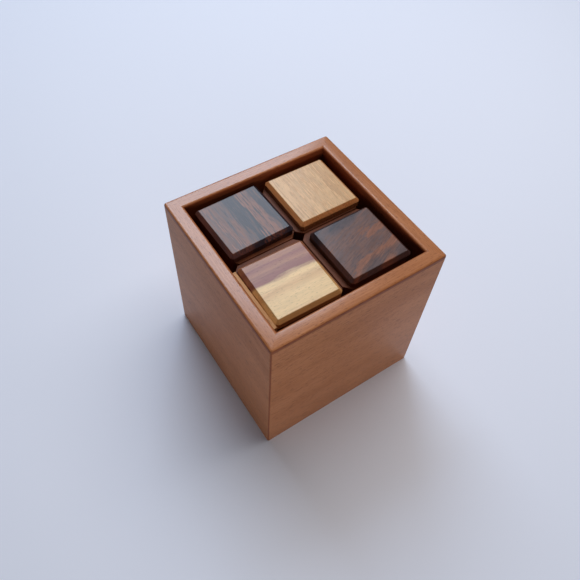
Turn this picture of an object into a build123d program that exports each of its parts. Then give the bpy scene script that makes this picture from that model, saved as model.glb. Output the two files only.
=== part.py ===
from build123d import *
import os

# Open-topped cube box with four stepped blocks that lift out, in mm.
# Each block is a plain hardwood body with a bevelled cap of a show wood glued on top.
# Origin at the middle of the underside, +Z up, front wall at -Y.

# Box
outer_side = 90.0
box_height = 91.0
wall_thickness = 7.0
corner_radius = 1.0
rim_outer_radius = 1.0
rim_inner_radius = 1.4
foot_radius = 0.5

# Rebate round the foot of the walls and the panel glued into it
rebate_depth = 4.0
panel_thickness = 5.0

# Slip glued to the left wall, which takes up the play beside the front left block
slip_thickness = 1.9
slip_ends = (-35.8, -3.5)
slip_top = 88.8
slip_radius = 0.5

# Caps
cap_side = 32.8
cap_foot = 84.0
cap_top = 88.4
cap_bevel = 1.7
cap_side_bevel = 1.1

# Each cap's middle in the plan and its turn about Z, in degrees
cap_places = {
    "front_left_cap": (-18.75, -18.2, -1.0),
    "front_right_cap": (19.0, -17.7, 0.1),
    "back_left_cap": (-17.8, 20.55, 1.4),
    "back_right_cap": (18.8, 19.6, -0.3),
}

# Bodies under the caps: lowest and highest corner in the plan
block_corners = {
    "front_left_block": ((-35.1, -34.6), (-0.45, 2.05)),
    "front_right_block": ((-0.15, -34.1), (35.4, 1.85)),
    "back_left_block": ((-34.0, 2.35), (-0.45, 36.7)),
    "back_right_block": ((-0.15, 2.15), (35.2, 36.0)),
}
block_side_bevel = 3.0
block_foot_bevel = 1.0

# Turn of each wall about Z, starting from the front wall
wall_turns = {
    "front_wall": 0,
    "right_wall": 90,
    "back_wall": 180,
    "left_wall": 270,
}

inner_side = outer_side - 2 * wall_thickness
panel_side = inner_side + 2 * rebate_depth


def edges_round(shape, side, height):
    """The four straight edges of a square of this side at this height."""
    flat = shape.edges().filter_by(GeomType.LINE).filter_by_position(Axis.Z, height, height)
    return [e for e in flat if abs(max(abs(e.center().X), abs(e.center().Y)) - side / 2) < 1e-3]


def wall_ring():
    """All four walls in one piece, with the rebate cut and the edges eased."""
    ring = extrude(Rectangle(outer_side, outer_side), box_height)
    ring = fillet(ring.edges().filter_by(Axis.Z), corner_radius)
    ring -= extrude(Rectangle(inner_side, inner_side), box_height)
    ring -= extrude(Rectangle(panel_side, panel_side), panel_thickness)
    ring = fillet(edges_round(ring, inner_side, box_height), rim_inner_radius)
    top_face = ring.faces().sort_by(Axis.Z)[-1]
    ring = fillet(top_face.outer_wire().edges(), rim_outer_radius)
    foot_face = ring.faces().sort_by(Axis.Z)[0]
    return fillet(foot_face.outer_wire().edges(), foot_radius)


def wall(ring, turn):
    """One wall: the part of the ring between two mitre planes."""
    reach = outer_side
    wedge = extrude(make_face(Polyline((0, 0), (reach, -reach), (-reach, -reach), close=True)), box_height)
    return ring & (Rot(0, 0, turn) * wedge)


def slip():
    """The slip on the inner face of the left wall, its free top edge rounded."""
    wall_face = -inner_side / 2
    low = (wall_face, slip_ends[0], panel_thickness)
    size = (slip_thickness, slip_ends[1] - slip_ends[0], slip_top - panel_thickness)
    body = Pos(*low) * Box(*size, align=Align.MIN)
    free_top = body.edges().filter_by(Axis.Y).sort_by(Axis.Z)[-2:].sort_by(Axis.X)[-1]
    return fillet(free_top, slip_radius)


def block(low, high):
    """One plain body, its upright edges and its foot bevelled."""
    size = (high[0] - low[0], high[1] - low[1], cap_foot - panel_thickness)
    body = Pos(*low, panel_thickness) * Box(*size, align=Align.MIN)
    body = chamfer(body.edges().filter_by(Axis.Z), block_side_bevel)
    return chamfer(body.faces().sort_by(Axis.Z)[0].edges(), block_foot_bevel)


def cap(x, y, turn):
    """One square cap, with a wide bevel round the top and narrow ones down its corners."""
    body = extrude(Rectangle(cap_side, cap_side), cap_top - cap_foot)
    body = chamfer(body.edges().filter_by(Axis.Z), cap_side_bevel)
    body = chamfer(body.faces().sort_by(Axis.Z)[-1].edges(), cap_bevel)
    return Pos(x, y, cap_foot) * Rot(0, 0, turn) * body


def save(shape, name):
    part = Part(shape.solids()[0].wrapped)
    part.label = name
    export_step(part, f"parts/{name}.step")


os.makedirs("parts", exist_ok=True)
ring = wall_ring()
for name, turn in wall_turns.items():
    save(wall(ring, turn), name)
save(extrude(Rectangle(panel_side, panel_side), panel_thickness), "bottom_panel")
save(slip(), "left_wall_slip")
for name, corners in block_corners.items():
    save(block(*corners), name)
for name, place in cap_places.items():
    save(cap(*place), name)
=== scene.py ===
import math

import bpy
from bpy.props import FloatProperty, FloatVectorProperty, IntProperty, PointerProperty
from mathutils import Matrix, Vector

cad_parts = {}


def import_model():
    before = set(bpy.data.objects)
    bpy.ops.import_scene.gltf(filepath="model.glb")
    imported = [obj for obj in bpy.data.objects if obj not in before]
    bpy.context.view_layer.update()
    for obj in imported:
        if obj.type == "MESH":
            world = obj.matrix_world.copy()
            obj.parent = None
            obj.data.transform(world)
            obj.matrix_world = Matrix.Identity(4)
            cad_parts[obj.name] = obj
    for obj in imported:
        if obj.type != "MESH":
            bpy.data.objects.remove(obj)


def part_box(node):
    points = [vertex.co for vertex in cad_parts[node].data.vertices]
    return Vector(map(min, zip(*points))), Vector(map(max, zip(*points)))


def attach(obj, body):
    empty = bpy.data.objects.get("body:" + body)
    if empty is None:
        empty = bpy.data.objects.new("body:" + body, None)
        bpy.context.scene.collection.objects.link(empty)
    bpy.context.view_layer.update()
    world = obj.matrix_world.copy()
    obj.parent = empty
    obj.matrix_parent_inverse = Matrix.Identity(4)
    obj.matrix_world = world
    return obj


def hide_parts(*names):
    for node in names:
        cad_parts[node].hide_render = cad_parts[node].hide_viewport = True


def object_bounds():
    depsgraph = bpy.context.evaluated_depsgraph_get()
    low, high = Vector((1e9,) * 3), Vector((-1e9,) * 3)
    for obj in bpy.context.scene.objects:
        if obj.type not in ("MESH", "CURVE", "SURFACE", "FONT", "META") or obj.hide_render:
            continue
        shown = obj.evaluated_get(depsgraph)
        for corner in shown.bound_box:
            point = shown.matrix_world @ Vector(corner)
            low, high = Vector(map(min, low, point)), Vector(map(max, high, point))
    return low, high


bl_info = {
    "name": "Wooden Puzzle Box",
    "version": (1, 0, 0),
    "blender": (4, 5, 0),
    "location": "View3D > Sidebar > Puzzle Box",
    "description": "Makes an open hardwood box with four capped blocks standing in it",
    "category": "Add Mesh",
}

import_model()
cad_low, cad_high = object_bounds()

MM = 0.001
QUARTER = math.radians(90)
# Turn of each wall about Z, in degrees, from the front wall
WALLS = {"front_wall": 0, "right_wall": 90, "back_wall": 180, "left_wall": 270}
PLACES = ("front_left", "front_right", "back_left", "back_right")
BOX_BODY = "box"
FLOOR_SIDE = 6

# Two lengths closer than this are the same
SAME = 0.01 * MM
# Points of a mitre cut closer than this become one. A wider limit would tear the cut's thin corners.
MITRE_MERGE = 1e-7
# Faces that meet at less than this angle shade as one, and the edge between them isn't sanded
SHARP = math.radians(20)
# The same for the slip, above the steps of its rounded edge
SLIP_SHARP = math.radians(40)
SANDING_STEPS = 3

# Sockets of a Mix node, in number mode and in colour mode
MIX_FACTOR = 0
NUMBER_A, NUMBER_B = 2, 3
COLOUR_A, COLOUR_B, COLOUR_OUT = 6, 7, 2

# Refractive index of the finish and of the wax, and the roughness of the wax
FINISH_IOR = 1.5
WAX_ROUGHNESS = 0.2
# How dark the painted shade line under the rim is beside the glue line down the corners, and the weight of
# the wax on the rim
LINE_STRENGTH = 0.8
RIM_WAX = 0.9


def linear(code):
    """The linear colour of an sRGB hex value."""
    parts = [int(code[i:i + 2], 16) / 255 for i in (0, 2, 4)]
    return tuple(p / 12.92 if p <= 0.04045 else ((p + 0.055) / 1.055) ** 2.4 for p in parts)


def millimetres(name, description, default, **limits):
    """A length property that is typed in millimetres and kept in metres."""
    return FloatProperty(
        name=name, description=description, default=default * MM, unit="LENGTH", precision=5, **limits
    )


def degrees(name, description, default):
    """An angle property, given in degrees."""
    return FloatProperty(
        name=name, description=description, default=math.radians(default), subtype="ANGLE"
    )


def colour(name, description, code):
    """A colour property, given as an sRGB hex value."""
    return FloatVectorProperty(
        name=name, description=description, default=linear(code), size=3, subtype="COLOR", min=0, max=1
    )


class BoxSizes(bpy.types.PropertyGroup):
    """Sizes of the mitred walls and the panel under them."""

    wall: millimetres("Wall", "Thickness of the walls", 7.0, min=0)
    rim_outer: millimetres("Outer arris", "Rounding of the rim's outer edge and the corners", 1.0, min=0)
    rim_inner: millimetres("Inner arris", "Rounding of the rim's inner edge", 1.4, min=0)
    foot: millimetres("Foot arris", "Rounding of the edge that stands on the table", 0.5, min=0)
    rebate: millimetres("Rebate", "How far the panel reaches under the walls' inner faces", 4.0, min=0)
    mitre: millimetres("Mitre line", "Width of the easing on each side of a mitre", 0.12, min=0)
    segments: IntProperty(name="Segments", description="Steps in each rounding", default=6, min=1)


class SlipSizes(bpy.types.PropertyGroup):
    """Sizes of the slip beside the front left block."""

    rounding: millimetres("Rounding", "Radius along the slip's free top edge", 0.5, min=0)
    sanding: millimetres("Sanding", "Softening of its other edges", 0.15, min=0)


class BlockSizes(bpy.types.PropertyGroup):
    """Sizes of the four blocks and of their caps."""

    upright_bevel: millimetres("Block bevel", "Width of the bevels down a block's upright edges", 3.0, min=0)
    foot_bevel: millimetres("Foot bevel", "Width of the bevels round a block's foot", 1.0, min=0)
    cap_side: millimetres("Cap side", "Width of a square cap", 32.8, min=0)
    cap_bevel: millimetres("Cap bevel", "Width of the bevels round a cap's top", 1.7, min=0)
    cap_corner: millimetres("Cap corner", "Width of the bevels at a cap's corners", 1.1, min=0)
    sanding: millimetres("Sanding", "Softening of each edge where two faces meet", 0.3, min=0)
    front_left_turn: degrees("Front left turn", "Turn of the front left cap about Z", -1.0)
    front_right_turn: degrees("Front right turn", "Turn of the front right cap about Z", 0.1)
    back_left_turn: degrees("Back left turn", "Turn of the back left cap about Z", 1.4)
    back_right_turn: degrees("Back right turn", "Turn of the back right cap about Z", -0.3)


class WoodColours(bpy.types.PropertyGroup):
    """Colours of the woods."""

    box_light: colour("Box, light", "Light bands of the box's wood", "b97b53")
    box_dark: colour("Box, dark", "Dark bands of the box's wood", "a86a42")
    box_pore: colour("Box, pores", "Pores of the box's wood", "6e3f28")
    # A dark glue line down the corners, and painted shade under the outer rim and on the walls' inner faces
    box_glue_and_shade: colour("Box, stain", "What stain leaves of the colour at the edges and inside", "b08a7e")
    # The blocks' tones are much darker than the box's, partly as painted shade for the narrow gaps between
    # the caps
    block_light: colour("Blocks, light", "Light bands of the blocks' wood", "6c3e2b")
    block_dark: colour("Blocks, dark", "Dark bands of the blocks' wood", "55301f")
    slip_light: colour("Slip, light", "Light bands of the slip's wood", "c08f62")
    slip_dark: colour("Slip, dark", "Dark bands of the slip's wood", "af7c50")
    sapwood_pale: colour("Sapwood, pale", "Pale wood of the two-tone cap", "f0cd99")
    sapwood: colour("Sapwood", "Wood of the light cap", "dcb283")
    sapwood_shade: colour("Sapwood, shaded", "Darker layers in the pale wood", "c99b6c")
    heartwood: colour("Heartwood", "Brown band on the two-tone cap", "ae7d67")
    heartwood_dark: colour("Heartwood, dark", "Darkest layer of that band", "96645b")
    rosewood: colour("Rosewood", "Brown layers of the dark caps", "7c584c")
    rosewood_red: colour("Rosewood, red", "Reddish streaks of the dark caps", "93614c")
    rosewood_grey: colour("Rosewood, grey", "Greyish layers of the dark caps", "665250")
    rosewood_dark: colour("Rosewood, dark", "Darkest layers of the dark caps", "423c42")


class StageSettings(bpy.types.PropertyGroup):
    """The floor, the lights and the camera."""

    floor: colour("Floor", "Colour of the plain floor", "e8ebf8")
    room: colour("Room", "Colour of the dim light from all round", "c8ccd8")
    room_strength: FloatProperty(name="Room strength", description="Strength of that light", default=0.02)
    azimuth: degrees("Azimuth", "Where the camera stands round the box", -37.0)
    elevation: degrees("Elevation", "Height of the camera above the horizon", 54.7)
    roll: degrees("Roll", "Tilt of the camera about its own line of sight", 4.28)
    distance: millimetres("Distance", "From the camera to the plane of the aim point", 332.3, min=0)
    aim_right: millimetres("Aim right", "Aim point, to the right of the origin as the camera sees it", -1.58)
    aim_up: millimetres("Aim up", "Aim point, above the origin as the camera sees it", 25.46)
    lens: FloatProperty(name="Lens", description="Focal length in mm", default=36.5, unit="CAMERA")


class PuzzleBoxSettings(bpy.types.PropertyGroup):
    """All the settings of the puzzle box."""

    box: PointerProperty(type=BoxSizes)
    slip: PointerProperty(type=SlipSizes)
    blocks: PointerProperty(type=BlockSizes)
    wood: PointerProperty(type=WoodColours)
    stage: PointerProperty(type=StageSettings)


# Modelling helpers


def select_only(obj):
    """Leaves one object selected and active."""
    bpy.ops.object.select_all(action="DESELECT")
    obj.select_set(True)
    bpy.context.view_layer.objects.active = obj


def add_cube(name, low, high):
    """A cube between two corners, with its object at the origin."""
    low, high = Vector(low), Vector(high)
    bpy.ops.object.select_all(action="DESELECT")
    bpy.ops.mesh.primitive_cube_add(size=1, location=(low + high) / 2)
    obj = bpy.context.active_object
    obj.name = obj.data.name = name
    obj.scale = high - low
    bpy.ops.object.transform_apply(location=True, rotation=True, scale=True)
    return obj


def pick(obj, kind, test):
    """Opens the mesh in edit mode with only the faces or edges that pass the test selected."""
    bpy.context.tool_settings.mesh_select_mode = (False, kind == "EDGE", kind == "FACE")
    select_only(obj)
    mesh = obj.data
    for part in (*mesh.vertices, *mesh.edges, *mesh.polygons):
        part.select = False
    if kind == "FACE":
        chosen = [f for f in mesh.polygons if test(f.center, f.normal)]
    else:
        ends = [[mesh.vertices[v].co for v in e.vertices] for e in mesh.edges]
        chosen = [e for e, (a, b) in zip(mesh.edges, ends) if test(a, b)]
    if not chosen:
        raise RuntimeError(f"nothing to select on {obj.name}")
    for part in chosen:
        part.select = True
    bpy.ops.object.mode_set(mode="EDIT")


def close_edit():
    """Goes back to object mode."""
    bpy.ops.object.mode_set(mode="OBJECT")


def bevel_edges(obj, test, width, segments):
    """Bevels or rounds the edges whose two ends pass the test."""
    pick(obj, "EDGE", test)
    bpy.ops.mesh.bevel(offset=width, segments=segments, profile=0.5, clamp_overlap=True)
    close_edit()


def near(a, b):
    """True if two lengths are the same."""
    return abs(a - b) < SAME


def reach(point):
    """How far a point stands out from the middle, along X or Y, whichever is more."""
    return max(abs(point.x), abs(point.y))


def is_upright(a, b):
    """True for an edge that runs straight up."""
    return near(a.x, b.x) and near(a.y, b.y)


def level_at(height):
    """A test that passes the edges lying at one height."""
    return lambda a, b: near(a.z, height) and near(b.z, height)


def soften(obj, width, angle=SHARP):
    """Rounds every edge sharper than the angle, as light sanding does, and keeps the flats flat."""
    select_only(obj)
    bpy.ops.object.shade_smooth()
    rounding = obj.modifiers.new("sanding", "BEVEL")
    rounding.width = width
    rounding.segments = SANDING_STEPS
    rounding.limit_method = "ANGLE"
    rounding.angle_limit = angle
    rounding.harden_normals = True
    bpy.ops.object.modifier_apply(modifier=rounding.name)


# Material helpers


def new_material(name):
    """An empty node material and its node tree."""
    material = bpy.data.materials.new(name)
    material.use_nodes = True
    material.node_tree.nodes.clear()
    return material, material.node_tree


def add(tree, kind, inputs=None, stops=None, **settings):
    """Adds one shader node, with its settings, its ramp stops, and its inputs filled or linked."""
    node = tree.nodes.new("ShaderNode" + kind)
    for key, value in settings.items():
        setattr(node, key, value)
    if stops:
        ramp = node.color_ramp.elements
        while len(ramp) < len(stops):
            ramp.new(1)
        for element, (place, value) in zip(ramp, stops):
            element.position = place
            element.color = (*value, 1)
    for key, value in (inputs or {}).items():
        if isinstance(value, bpy.types.NodeSocket):
            tree.links.new(value, node.inputs[key])
        else:
            node.inputs[key].default_value = value
    return node


def grain_noise(tree, place, length, width, detail, start=(0, 0, 0)):
    """Noise drawn out along X, its features this long and wide in mm."""
    scale = (1 / (length * MM), 1 / (width * MM), 1 / (width * MM))
    scaled = add(tree, "Mapping", {"Vector": place, "Location": start, "Scale": scale})
    noise = add(tree, "TexNoise", {"Vector": scaled.outputs[0], "Scale": 1, "Detail": detail})
    return noise.outputs["Fac"]


def carried(tree, value, source, target):
    """A value carried from one range to another and held at the ends."""
    node = add(tree, "MapRange", {
        "Value": value, "From Min": source[0], "From Max": source[1],
        "To Min": target[0], "To Max": target[1],
    })
    return node.outputs[0]


def joined(tree, operation, *values):
    """The result of one sum on one or two values."""
    return add(tree, "Math", dict(enumerate(values)), operation=operation).outputs[0]


def multiplied(tree, amount, base, tint):
    """A colour multiplied by another, by this amount."""
    mix = add(tree, "Mix", {MIX_FACTOR: amount, COLOUR_A: base, COLOUR_B: tint},
              data_type="RGBA", blend_type="MULTIPLY")
    return mix.outputs[COLOUR_OUT]


def finish_wood(tree, base, roughness, height, depth, sheen, coat):
    """A wood surface: its colour, roughness and height (depth in mm), its fibres' sheen and its wax."""
    bump = add(tree, "Bump", {"Strength": 1.0, "Distance": depth * MM, "Height": height})
    surface = add(tree, "BsdfPrincipled", {
        "Base Color": base,
        "Roughness": roughness,
        "IOR": FINISH_IOR,
        "Specular IOR Level": sheen,
        "Coat Weight": coat,
        "Coat Roughness": WAX_ROUGHNESS,
        "Coat IOR": FINISH_IOR,
        "Normal": bump.outputs["Normal"],
    })
    add(tree, "OutputMaterial", {"Surface": surface.outputs["BSDF"]})


def plain_hardwood(name, tones, turn, glue_and_shade=None):
    """Straight-grained hardwood, planed and sanded: fine fibres, short dark pores, slow drift of colour,
    and, for the box, a dark glue line and painted shade.
    """
    light, dark, pore_tone = tones
    material, tree = new_material(name)
    place = add(tree, "TexCoord").outputs["Object"]
    along = add(tree, "Mapping", {"Vector": place, "Rotation": turn}).outputs[0]
    # Slow drift of colour along a board, 45 mm long and 10 mm wide
    drift = grain_noise(tree, along, 45, 10, detail=3)
    # Fibres, 14 mm long and 0.6 mm wide, coarser than life so that they show
    fibre = grain_noise(tree, along, 14, 0.6, detail=2)
    # Pores, 2.5 mm long and 0.35 mm wide, also coarser than life
    pore = grain_noise(tree, along, 2.5, 0.35, detail=1)
    band = add(tree, "Mix", {MIX_FACTOR: 0.45, NUMBER_A: drift, NUMBER_B: fibre})
    # Most of the noise lies near its middle, so the two tones are spread over that part
    tone = add(tree, "ValToRGB", {"Fac": band.outputs[0]}, stops=[(0.39, dark), (0.61, light)])
    # Only the peaks of the noise are pores
    pore_mask = carried(tree, pore, (0.58, 0.7), (0, 0.6))
    pored = add(tree, "Mix", {
        MIX_FACTOR: pore_mask, COLOUR_A: tone.outputs[0], COLOUR_B: (*pore_tone, 1),
    }, data_type="RGBA")
    base = pored.outputs[COLOUR_OUT]
    coat = 0
    if glue_and_shade:
        # Painted shade on the walls' inner faces and under the outer rim, and a dark glue line down the
        # corners
        arris, inside, coat = box_masks(tree, place)
        deep = multiplied(tree, inside, base, (*glue_and_shade, 1))
        base = multiplied(tree, arris, deep, (*glue_and_shade, 1))
    rough = carried(tree, fibre, (0, 1), (0.34, 0.48))
    height = joined(tree, "SUBTRACT", fibre, pore_mask)
    finish_wood(tree, base, rough, height, depth=0.012, sheen=0.12, coat=coat)
    return material


def box_masks(tree, place):
    """A dark glue line down the outer corners and a painted shade line under the outer rim, painted shade
    deep inside the box, and the waxed rim.
    """
    parts = add(tree, "SeparateXYZ", {"Vector": place})
    size_x = joined(tree, "ABSOLUTE", parts.outputs["X"])
    size_y = joined(tree, "ABSOLUTE", parts.outputs["Y"])
    out = joined(tree, "MAXIMUM", size_x, size_y)
    inner_face = -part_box("left_wall_slip")[0].x

    def before(value, edge, start, full):
        """From 0 to 1 between two distances before an edge, in mm, or past it where they are negative."""
        return carried(tree, value, (edge - start * MM, edge - full * MM), (0, 1))

    # The dark glue line down the outer corners
    near_x = before(size_x, cad_high.x, 0.8, 0.3)
    near_y = before(size_y, cad_high.y, 0.8, 0.3)
    upright = joined(tree, "MULTIPLY", near_x, near_y)
    # Below the rim a painted shade line sits on the outer face, just under the rounding
    edge_x = before(size_x, cad_high.x, 0.35, 0.1)
    edge_y = before(size_y, cad_high.y, 0.35, 0.1)
    band = before(parts.outputs["Z"], cad_high.z, 2.7, 1.9)
    line = joined(tree, "MULTIPLY", joined(tree, "MAXIMUM", edge_x, edge_y), band)
    arris = joined(tree, "MAXIMUM", upright, joined(tree, "MULTIPLY", line, LINE_STRENGTH))
    # Painted shade over the walls' inner faces, where the box is dark inside
    inside = before(out, inner_face, -0.9, -0.2)
    # The wax lies on the flat of the rim: not down its rounded inner edge, nor over the painted shade line
    rim = before(parts.outputs["Z"], cad_high.z, 1.4, 0.6)
    flat = joined(tree, "MULTIPLY", rim, before(out, inner_face, -0.7, -1.3))
    bare = joined(tree, "SUBTRACT", 1, arris)
    wax = joined(tree, "MULTIPLY", joined(tree, "MULTIPLY", flat, bare), RIM_WAX)
    return arris, inside, wax


def cap_wood(name, middle, turn, figure, top):
    """Show wood laid flat on a cap: streaks along the grain, open pores, an oiled and rubbed sheen."""
    material, tree = new_material(name)
    place = add(tree, "TexCoord").outputs["Object"]
    local = add(tree, "Mapping", {
        "Vector": place, "Location": middle, "Rotation": (0, 0, turn + figure["lie"]),
    }, vector_type="TEXTURE").outputs[0]
    # Waves in the growth layers, drawn out along the grain
    wave = grain_noise(tree, local, *figure["wave"], detail=4, start=figure["start"])
    # Streaks, 9 mm long and 0.8 mm wide, coarser than life so that they show
    streak = grain_noise(tree, local, 9, 0.8, detail=2)
    # Pores, 1.8 mm long and 0.5 mm wide, also coarser than life
    pore = grain_noise(tree, local, 1.8, 0.5, detail=1)
    # The layers lie side by side across the grain, bent by the waves and frayed by the streaks
    parts = add(tree, "SeparateXYZ", {"Vector": local})
    half = figure["half"] * MM
    across = carried(tree, parts.outputs["Y"], (-half, half), (0, 1))
    swing = carried(tree, wave, (0.25, 0.75), (-figure["swing"], figure["swing"]))
    stray = carried(tree, streak, (0.25, 0.75), (-figure["stray"], figure["stray"]))
    layer = joined(tree, "ADD", joined(tree, "ADD", across, swing), stray)
    tone = add(tree, "ValToRGB", {"Fac": layer}, stops=figure["layers"])
    grain = carried(tree, streak, (0.35, 0.65), (figure["grain"], 1))
    toned = multiplied(tree, 1.0, tone.outputs[0], grain)
    pore_mask = carried(tree, pore, (0.6, 0.72), (1, figure["pores"]))
    pored = multiplied(tree, 1.0, toned, pore_mask)
    # The bevels and sides are cut across the fibres, so they drink more oil and go deeper in colour
    height_up = add(tree, "SeparateXYZ", {"Vector": place}).outputs["Z"]
    cut = carried(tree, height_up, (top - 0.25 * MM, top - 0.08 * MM), (1, 0))
    base = multiplied(tree, cut, pored, (*linear(figure["oil"]), 1))
    rough = carried(tree, streak, (0, 1), (0.34, 0.5))
    finish_wood(tree, base, rough, pore_mask, depth=0.015, sheen=0.3, coat=0.32)
    return material


def floor_paint(name, tone):
    """A plain matt painted floor."""
    material, tree = new_material(name)
    surface = add(tree, "BsdfPrincipled", {"Base Color": (*tone, 1), "Roughness": 0.8})
    add(tree, "OutputMaterial", {"Surface": surface.outputs["BSDF"]})
    return material


class PUZZLEBOX_OT_walls(bpy.types.Operator):
    """Makes the four mitred walls of the box"""

    bl_idname = "puzzle_box.walls"
    bl_label = "Walls"

    def execute(self, context):
        sizes, wood = context.scene.puzzle_box.box, context.scene.puzzle_box.wood
        ring = self.ring(sizes)
        for name, turn in WALLS.items():
            wall = self.cut_wall(ring, name, turn, sizes)
            tones = (wood.box_light, wood.box_dark, wood.box_pore)
            lie = (0, 0, -math.radians(turn))
            # Mahogany, planed and satin finished: warm and even, shiny only on the waxed rim, with a dark
            # glue line down the corners and painted shade under the outer rim and on the inner faces
            material = plain_hardwood(f"satin_mahogany_{name}", tones, lie, wood.box_glue_and_shade)
            wall.data.materials.append(material)
            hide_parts(name)
            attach(wall, BOX_BODY)
        bpy.data.objects.remove(ring)
        return {"FINISHED"}

    def ring(self, sizes):
        """All four walls in one piece, hollow, with the rebate under them and the edges rounded."""
        top, half = cad_high.z, cad_high.x
        inner = half - sizes.wall
        panel_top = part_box("bottom_panel")[1].z
        ring = add_cube("ring", cad_low, cad_high)
        pick(ring, "FACE", lambda centre, normal: normal.z > 0.5)
        bpy.ops.mesh.inset(thickness=sizes.wall)
        close_edit()
        pick(ring, "FACE", lambda centre, normal: normal.z < -0.5)
        bpy.ops.mesh.inset(thickness=sizes.wall - sizes.rebate)
        bpy.ops.mesh.extrude_region_move(TRANSFORM_OT_translate={"value": (0, 0, panel_top)})
        bpy.ops.mesh.inset(thickness=sizes.rebate)
        close_edit()
        pick(ring, "FACE", lambda centre, normal: abs(normal.z) > 0.5 and reach(centre) < MM)
        bpy.ops.mesh.bridge_edge_loops()
        close_edit()

        at_top, at_foot = level_at(top), level_at(0)
        # Edges of the foot further out than this are the outer ones, not the rebate's
        foot_edge = half - sizes.rim_outer - sizes.foot

        def is_inner_rim(a, b):
            return at_top(a, b) and near(reach(a), inner) and near(reach(b), inner)

        def is_outer_rim_or_corner(a, b):
            outside = near(reach(a), half) and near(reach(b), half)
            return outside and (is_upright(a, b) or at_top(a, b))

        def is_foot(a, b):
            return at_foot(a, b) and min(reach(a), reach(b)) > foot_edge

        bevel_edges(ring, is_inner_rim, sizes.rim_inner, sizes.segments)
        bevel_edges(ring, is_outer_rim_or_corner, sizes.rim_outer, sizes.segments)
        bevel_edges(ring, is_foot, sizes.foot, sizes.segments)
        return ring

    def cut_wall(self, ring, name, turn, sizes):
        """One wall: the ring cut along its two mitres, with each mitre's edges eased."""
        select_only(ring)
        bpy.ops.object.duplicate()
        wall = bpy.context.active_object
        wall.name = wall.data.name = f"{name}_wood"
        spin = Matrix.Rotation(math.radians(turn), 3, "Z")
        for mitre in (spin @ Vector((1, 1, 0)), spin @ Vector((-1, 1, 0))):
            bpy.ops.object.mode_set(mode="EDIT")
            bpy.ops.mesh.select_all(action="SELECT")
            bpy.ops.mesh.bisect(
                plane_co=(0, 0, 0), plane_no=mitre, use_fill=True, clear_outer=True, threshold=MITRE_MERGE
            )
            close_edit()

        panel_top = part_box("bottom_panel")[1].z

        def is_mitre(a, b):
            """True for an edge of the cut, apart from those of the rebate and the foot."""
            on_cut = near(abs(a.x), abs(a.y)) and near(abs(b.x), abs(b.y))
            return on_cut and max(a.z, b.z) > panel_top + MM

        bevel_edges(wall, is_mitre, sizes.mitre, segments=1)
        select_only(wall)
        bpy.ops.object.shade_smooth_by_angle(angle=SHARP)
        return wall


class PUZZLEBOX_OT_panel(bpy.types.Operator):
    """Makes the panel that closes the box under the blocks"""

    bl_idname = "puzzle_box.panel"
    bl_label = "Bottom panel"

    def execute(self, context):
        sizes, wood = context.scene.puzzle_box.box, context.scene.puzzle_box.wood
        panel = add_cube("bottom_panel_wood", *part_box("bottom_panel"))
        soften(panel, sizes.mitre)
        tones = (wood.box_light, wood.box_dark, wood.box_pore)
        # Mahogany, planed, sanded and left bare: warm and dull
        panel.data.materials.append(plain_hardwood("sanded_mahogany_panel", tones, (0, 0, 0)))
        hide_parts("bottom_panel")
        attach(panel, BOX_BODY)
        return {"FINISHED"}


class PUZZLEBOX_OT_slip(bpy.types.Operator):
    """Makes the slip glued to the left wall beside the front left block"""

    bl_idname = "puzzle_box.slip"
    bl_label = "Slip"

    def execute(self, context):
        sizes, wood = context.scene.puzzle_box.slip, context.scene.puzzle_box.wood
        low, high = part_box("left_wall_slip")
        slip = add_cube("left_wall_slip_wood", low, high)

        at_top = level_at(high.z)

        def is_free_top(a, b):
            return at_top(a, b) and near(a.x, high.x) and near(b.x, high.x)

        bevel_edges(slip, is_free_top, sizes.rounding, segments=4)
        soften(slip, sizes.sanding, SLIP_SHARP)
        tones = (wood.slip_light, wood.slip_dark, wood.box_pore)
        lie = (0, 0, QUARTER)
        # Beech, sanded: tan and close-grained, much paler than the box
        slip.data.materials.append(plain_hardwood("sanded_beech_slip", tones, lie))
        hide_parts("left_wall_slip")
        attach(slip, BOX_BODY)
        return {"FINISHED"}


class PUZZLEBOX_OT_blocks(bpy.types.Operator):
    """Makes the four plain blocks under the caps"""

    bl_idname = "puzzle_box.blocks"
    bl_label = "Blocks"

    def execute(self, context):
        sizes, wood = context.scene.puzzle_box.blocks, context.scene.puzzle_box.wood
        tones = (wood.block_light, wood.block_dark, wood.box_pore)
        upright = (0, QUARTER, 0)
        for place in PLACES:
            name = f"{place}_block"
            block = self.block(name, sizes)
            # Mahogany, planed and oiled, with its grain upright: dull, and much darker than the box's,
            # partly as painted shade for the narrow gaps it is seen through
            block.data.materials.append(plain_hardwood(f"oiled_mahogany_{name}", tones, upright))
            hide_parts(name)
            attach(block, name)
        return {"FINISHED"}

    def block(self, name, sizes):
        """One block: bevelled down its upright edges and round its foot, and lightly sanded."""
        low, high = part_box(name)
        block = add_cube(f"{name}_wood", low, high)
        bevel_edges(block, is_upright, sizes.upright_bevel, segments=1)
        bevel_edges(block, level_at(low.z), sizes.foot_bevel, segments=1)
        soften(block, sizes.sanding)
        return block


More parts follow.
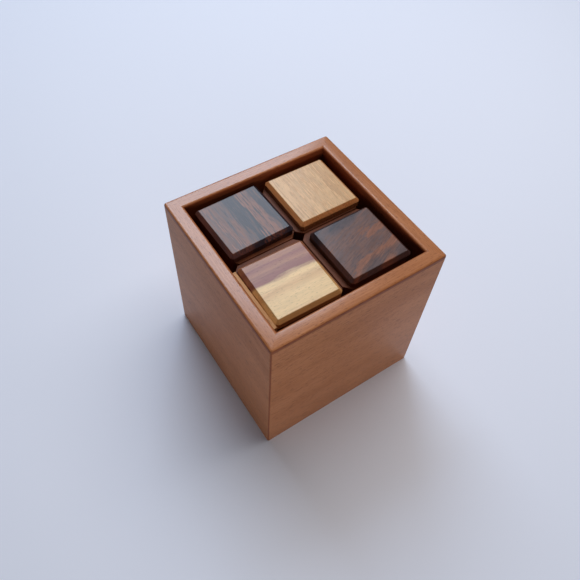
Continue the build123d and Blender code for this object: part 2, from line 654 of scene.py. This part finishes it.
class PUZZLEBOX_OT_caps(bpy.types.Operator):
    """Makes the four bevelled caps of show wood"""

    bl_idname = "puzzle_box.caps"
    bl_label = "Caps"

    def execute(self, context):
        sizes, wood = context.scene.puzzle_box.blocks, context.scene.puzzle_box.wood
        figures = self.figures(wood)
        for place in PLACES:
            name = f"{place}_cap"
            low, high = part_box(name)
            middle = Vector(((low.x + high.x) / 2, (low.y + high.y) / 2, 0))
            turn = getattr(sizes, f"{place}_turn")
            cap = self.cap(name, low.z, high.z, middle, turn, sizes)
            slot, figure = figures[place]
            cap.data.materials.append(cap_wood(figure["wood"], middle, turn, figure, high.z))
            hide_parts(name)
            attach(cap, f"{place}_block")
        return {"FINISHED"}

    def figures(self, wood):
        """The slot and the figure of each cap.

        lie is the turn of the grain from X, and half the distance in mm from the cap's middle to its
        outermost layer. wave is the length and width in mm of the bends in the layers, and start where in
        the noise they begin. swing and stray are how far the bends and the streaks move a layer, as a share
        of the whole width. grain, pores and oil are what the darkest streak, a pore and the oil on the
        bevels leave of the colour. layers run from one side of the cap to the other.
        """
        pale, sap, shade = tuple(wood.sapwood_pale), tuple(wood.sapwood), tuple(wood.sapwood_shade)
        heart, heart_dark = tuple(wood.heartwood), tuple(wood.heartwood_dark)
        brown, red = tuple(wood.rosewood), tuple(wood.rosewood_red)
        grey, dark = tuple(wood.rosewood_grey), tuple(wood.rosewood_dark)
        return {
            # Sapwood beside heartwood of one board: a cream half and a purplish brown half
            "front_left": ("two_tone_cap_wood", {
                "wood": "oiled_sapwood_and_heartwood", "lie": 0, "half": 16.4,
                "wave": (22, 5), "start": (3, 0, 0), "swing": 0.04, "stray": 0.012,
                "grain": 0.88, "pores": 0.75, "oil": "ddc0a2",
                "layers": [
                    (0.0, sap), (0.08, pale), (0.3, pale), (0.42, sap), (0.5, pale), (0.55, pale),
                    (0.605, heart_dark), (0.68, heart_dark), (0.74, heart), (0.85, heart_dark),
                    (0.9, heart), (1.0, heart),
                ],
            }),
            # Rosewood with slanting layers: dark grey and reddish brown, low in contrast
            "front_right": ("dark_cap_wood_right", {
                "wood": "oiled_rosewood_right", "lie": QUARTER / 4, "half": 19,
                "wave": (18, 9), "start": (3, 5, 0), "swing": 0.3, "stray": 0.1,
                "grain": 0.72, "pores": 0.72, "oil": "bc9f98",
                "layers": [
                    (0.0, grey), (0.12, brown), (0.22, red), (0.34, red), (0.42, grey), (0.5, brown),
                    (0.62, grey), (0.72, brown), (0.82, grey), (1.0, dark),
                ],
            }),
            # Rosewood with upright layers: a dark band between reddish streaks
            "back_left": ("dark_cap_wood_left", {
                "wood": "oiled_rosewood_left", "lie": -QUARTER, "half": 16.4,
                "wave": (26, 5), "start": (0, 0, 0), "swing": 0.17, "stray": 0.16,
                "grain": 0.6, "pores": 0.8, "oil": "cbb9c3",
                "layers": [
                    (0.0, red), (0.1, brown), (0.16, grey), (0.24, red), (0.32, brown), (0.4, grey),
                    (0.46, dark), (0.6, dark), (0.66, brown), (0.72, red), (0.8, brown), (0.88, dark),
                    (1.0, dark),
                ],
            }),
            # Plain sapwood: pale, with fine straight streaks
            "back_right": ("sapwood_cap_wood", {
                "wood": "oiled_sapwood", "lie": QUARTER, "half": 16.4,
                "wave": (30, 3), "start": (5, 0, 0), "swing": 0.2, "stray": 0.18,
                "grain": 0.8, "pores": 0.78, "oil": "dcae92",
                "layers": [
                    (0.0, sap), (0.2, shade), (0.27, sap), (0.4, sap), (0.46, shade), (0.52, sap),
                    (0.7, sap), (0.78, shade), (0.84, sap), (1.0, sap),
                ],
            }),
        }

    def cap(self, name, foot, top, middle, turn, sizes):
        """One square cap: bevelled round its top and at its corners, turned, and lightly sanded."""
        half = sizes.cap_side / 2
        cap = add_cube(f"{name}_wood", (-half, -half, foot), (half, half, top))
        bevel_edges(cap, is_upright, sizes.cap_corner, segments=1)
        bevel_edges(cap, level_at(top), sizes.cap_bevel, segments=1)
        cap.rotation_euler.z = turn
        cap.location = middle
        select_only(cap)
        bpy.ops.object.transform_apply(location=True, rotation=True, scale=True)
        soften(cap, sizes.sanding)
        return cap


class PUZZLEBOX_OT_stage(bpy.types.Operator):
    """Makes the floor, the lights and the camera"""

    bl_idname = "puzzle_box.stage"
    bl_label = "Stage"

    def execute(self, context):
        stage = context.scene.puzzle_box.stage
        bpy.ops.object.select_all(action="DESELECT")
        bpy.ops.mesh.primitive_plane_add(size=FLOOR_SIDE)
        floor = context.active_object
        floor.name = "floor"
        floor.data.materials.append(floor_paint("matt_floor_paint", stage.floor))
        self.world(context.scene, stage)
        # Window behind the box, which gives the tops and the rim their pale sheen
        self.softbox(
            context, "window", tone="ddedff",
            bearing=73, height=47, distance=1.2, size=(0.7, 0.62), power=8.6,
        )
        # Main light, large and high
        main = self.softbox(
            context, "main_light", tone="fffaf4",
            bearing=14, height=67, distance=0.8, size=(0.7, 0.7), power=4.5,
        )
        # Pale room beyond the camera, which lights the near walls and hardly reaches inside
        fill = self.softbox(
            context, "fill", tone="ffffff",
            bearing=238, height=5, distance=1.5, size=(1.4, 0.3), power=7.2,
        )
        # Neither of these shows as a shine in the finish, as with light off matt walls
        main.visible_glossy = False
        fill.visible_glossy = False
        self.camera(context, stage)
        context.scene.view_settings.view_transform = "Standard"
        return {"FINISHED"}

    def world(self, scene, stage):
        """A dim even room."""
        scene.world = bpy.data.worlds.new("room")
        scene.world.use_nodes = True
        room = scene.world.node_tree.nodes["Background"]
        room.inputs["Color"].default_value = (*stage.room, 1)
        room.inputs["Strength"].default_value = stage.room_strength

    def softbox(self, context, name, tone, bearing, height, distance, size, power):
        """A large soft light aimed at the middle of the rim.

        Its bearing is in degrees from +X towards +Y, its height in degrees above the horizon, its distance
        and size in metres, and its power in watts.
        """
        a, e = math.radians(bearing), math.radians(height)
        out = Vector((math.cos(a) * math.cos(e), math.sin(a) * math.cos(e), math.sin(e)))
        lamp = bpy.data.lights.new(name, "AREA")
        lamp.shape = "RECTANGLE"
        lamp.size, lamp.size_y = size
        lamp.energy = power
        lamp.color = linear(tone)
        light = bpy.data.objects.new(name, lamp)
        context.collection.objects.link(light)
        light.location = Vector((0, 0, cad_high.z)) + out * distance
        light.rotation_euler = (-out).to_track_quat("-Z", "Y").to_euler()
        return light

    def camera(self, context, stage):
        """A camera above the near corner, looking down on the box."""
        a, e = stage.azimuth, stage.elevation
        back = Vector((math.sin(a) * math.cos(e), -math.cos(a) * math.cos(e), math.sin(e)))
        level = Vector((0, 0, 1)).cross(back).normalized()
        right = level * math.cos(stage.roll) + back.cross(level) * math.sin(stage.roll)
        up = back.cross(right)
        lens = bpy.data.cameras.new("camera")
        lens.lens = stage.lens
        camera = bpy.data.objects.new("camera", lens)
        context.collection.objects.link(camera)
        camera.location = right * stage.aim_right + up * stage.aim_up + back * stage.distance
        camera.rotation_euler = Matrix((right, up, back)).transposed().to_euler()
        context.scene.camera = camera


class PUZZLEBOX_PT_panel(bpy.types.Panel):
    """Lists the steps and their settings"""

    bl_label = "Puzzle Box"
    bl_idname = "PUZZLEBOX_PT_panel"
    bl_space_type = "VIEW_3D"
    bl_region_type = "UI"
    bl_category = "Puzzle Box"

    def draw(self, context):
        settings = context.scene.puzzle_box
        for group in (settings.box, settings.slip, settings.blocks, settings.wood, settings.stage):
            box = self.layout.box()
            for name in group.bl_rna.properties.keys():
                if name not in ("rna_type", "name"):
                    box.prop(group, name)
        for operator in OPERATORS:
            self.layout.operator(operator.bl_idname)


OPERATORS = (
    PUZZLEBOX_OT_walls, PUZZLEBOX_OT_panel, PUZZLEBOX_OT_slip, PUZZLEBOX_OT_blocks, PUZZLEBOX_OT_caps,
    PUZZLEBOX_OT_stage,
)
GROUPS = (BoxSizes, SlipSizes, BlockSizes, WoodColours, StageSettings, PuzzleBoxSettings)
CLASSES = (*GROUPS, *OPERATORS, PUZZLEBOX_PT_panel)


def register():
    for cls in CLASSES:
        bpy.utils.register_class(cls)
    bpy.types.Scene.puzzle_box = PointerProperty(type=PuzzleBoxSettings)


def unregister():
    del bpy.types.Scene.puzzle_box
    for cls in reversed(CLASSES):
        bpy.utils.unregister_class(cls)


def main():
    """Registers the add-on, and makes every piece."""
    register()
    bpy.ops.puzzle_box.walls()
    bpy.ops.puzzle_box.panel()
    bpy.ops.puzzle_box.slip()
    bpy.ops.puzzle_box.blocks()
    bpy.ops.puzzle_box.caps()
    bpy.ops.puzzle_box.stage()
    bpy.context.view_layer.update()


if __name__ == "__main__":
    main()
